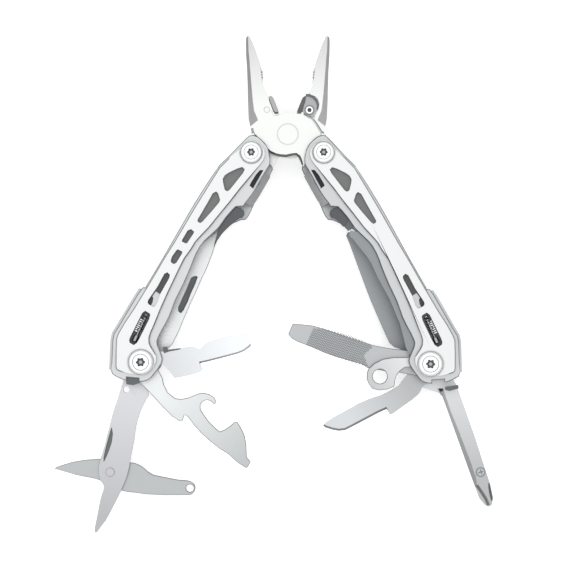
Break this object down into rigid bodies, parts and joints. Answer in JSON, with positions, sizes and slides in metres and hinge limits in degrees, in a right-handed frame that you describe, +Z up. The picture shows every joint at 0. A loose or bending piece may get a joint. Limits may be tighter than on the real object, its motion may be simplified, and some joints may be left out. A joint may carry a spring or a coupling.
{
  "type": "folding multi tool",
  "caption": "Folding plier multi tool with windowed steel handles, scissors, openers, drivers, file, saw and knife blades on locking pivots.",
  "frame": {"origin": "centre of the open tool's bounding box in X and Y, on the plane it lies on", "axes": "+X to the right of the open tool, +Y towards the jaw tips, +Z up through its thickness, out of the front scales"},
  "size_m": [0.1566, 0.177, 0.0204],
  "materials": {
    "scale": "fine satin",
    "liner": "satin",
    "head": "fine satin",
    "insert": "ground",
    "tool": "satin",
    "dark": "dark satin",
    "file": "cross-cut",
    "screw": "turned",
    "spring": "bright"
  },
  "bodies": {
    "head": {"jaw_front": "head", "head_rivet": "head", "cutter_insert_left": "insert", "cutter_screw_left": "screw"},
    "rear_jaw": {"jaw_rear": "head", "cutter_insert_right": "insert", "cutter_screw_right": "screw"},
    "handle_left": {"front_scale_left": "scale", "front_liner_left": "liner", "rear_liner_left": "liner", "rear_scale_left": "scale", "spine_left": "liner", "inner_web_left": "liner", "back_spring_left": "dark", "lock_leaf_left": "spring", "lock_spring_left": "spring", "screw_top_left": "screw", "nut_top_left": "screw", "screw_bottom_left": "screw", "nut_bottom_left": "screw", "spacer_top_front_left": "liner", "spacer_top_rear_left": "liner", "spacer_bottom_front_left": "liner", "spacer_bottom_mid_left": "liner"},
    "handle_right": {"front_scale_right": "scale", "front_liner_right": "liner", "rear_liner_right": "liner", "rear_scale_right": "scale", "spine_right": "liner", "inner_web_right": "liner", "back_spring_right": "dark", "lock_leaf_right": "spring", "lock_spring_right": "spring", "screw_top_right": "screw", "nut_top_right": "screw", "screw_bottom_right": "screw", "nut_bottom_right": "screw", "spacer_top_front_right": "liner", "spacer_top_rear_right": "liner"},
    "plunger_left": {"lock_plunger_left": "spring"},
    "plunger_right": {"lock_plunger_right": "spring"},
    "flat_driver": {"flat_driver": "tool"},
    "can_opener": {"can_opener": "tool"},
    "scissors": {"scissor_blade": "tool", "scissor_rivet": "tool"},
    "scissor_lever": {"scissor_lever": "tool"},
    "knife": {"knife_blade": "tool"},
    "file": {"file_blade": "file"},
    "ring_tool": {"ring_tool": "tool"},
    "small_knife": {"small_knife": "tool"},
    "cross_driver": {"cross_driver": "tool"},
    "saw": {"saw_blade": "dark"},
    "large_knife": {"large_knife": "dark"}
  },
  "joints": [
    {"name": "jaws_close", "type": "hinge", "parent": "head", "child": "rear_jaw", "pos_m": [0.00512, 0.0535, 0.01], "axis": [0, 0, 1], "range_deg": [0, 40.5]},
    {"name": "handle_left_fold", "type": "hinge", "parent": "rear_jaw", "child": "handle_left", "pos_m": [-0.00784, 0.04675, 0.01], "axis": [0, 0, -1], "range_deg": [0, 168]},
    {"name": "handle_right_fold", "type": "hinge", "parent": "head", "child": "handle_right", "pos_m": [0.01779, 0.04675, 0.01], "axis": [0, 0, 1], "range_deg": [0, 168]},
    {"name": "flat_driver_fold", "type": "hinge", "parent": "handle_left", "child": "flat_driver", "pos_m": [-0.04682, -0.02741, 0.01], "axis": [0, 0, 1], "range_deg": [0, 52]},
    {"name": "can_opener_fold", "type": "hinge", "parent": "handle_left", "child": "can_opener", "pos_m": [-0.04682, -0.02741, 0.01], "axis": [0, 0, 1], "range_deg": [0, 104]},
    {"name": "scissors_fold", "type": "hinge", "parent": "handle_left", "child": "scissors", "pos_m": [-0.04682, -0.02741, 0.01], "axis": [0, 0, 1], "range_deg": [0, 166]},
    {"name": "scissors_cut", "type": "hinge", "parent": "scissors", "child": "scissor_lever", "pos_m": [-0.05826, -0.06681, 0.01], "axis": [0, 0, 1], "range_deg": [0, 76]},
    {"name": "knife_open", "type": "hinge", "parent": "handle_left", "child": "knife", "pos_m": [-0.04682, -0.02741, 0.01], "axis": [0, 0, -1], "range_deg": [0, 175]},
    {"name": "file_fold", "type": "hinge", "parent": "handle_right", "child": "file", "pos_m": [0.05549, -0.02807, 0.01], "axis": [0, 0, -1], "range_deg": [0, 48]},
    {"name": "ring_tool_fold", "type": "hinge", "parent": "handle_right", "child": "ring_tool", "pos_m": [0.05549, -0.02807, 0.01], "axis": [0, 0, -1], "range_deg": [0, 70]},
    {"name": "small_knife_fold", "type": "hinge", "parent": "handle_right", "child": "small_knife", "pos_m": [0.05549, -0.02807, 0.01], "axis": [0, 0, -1], "range_deg": [0, 93]},
    {"name": "cross_driver_fold", "type": "hinge", "parent": "handle_right", "child": "cross_driver", "pos_m": [0.05549, -0.02807, 0.01], "axis": [0, 0, -1], "range_deg": [0, 174]},
    {"name": "saw_open", "type": "hinge", "parent": "handle_right", "child": "saw", "pos_m": [0.05549, -0.02807, 0.01], "axis": [0, 0, 1], "range_deg": [0, 172]},
    {"name": "large_knife_open", "type": "hinge", "parent": "handle_right", "child": "large_knife", "pos_m": [0.05549, -0.02807, 0.01], "axis": [0, 0, 1], "range_deg": [0, 172]},
    {"name": "lock_slide_left", "type": "slide", "parent": "handle_left", "child": "plunger_left", "axis": [0.4123, 0.911, 0], "range_m": [0, 0.0012], "stiffness_N_per_m": 200, "springref_m": -0.001},
    {"name": "lock_slide_right", "type": "slide", "parent": "handle_right", "child": "plunger_right", "axis": [-0.3965, 0.918, 0], "range_m": [0, 0.0012], "stiffness_N_per_m": 200, "springref_m": -0.001}
  ]
}
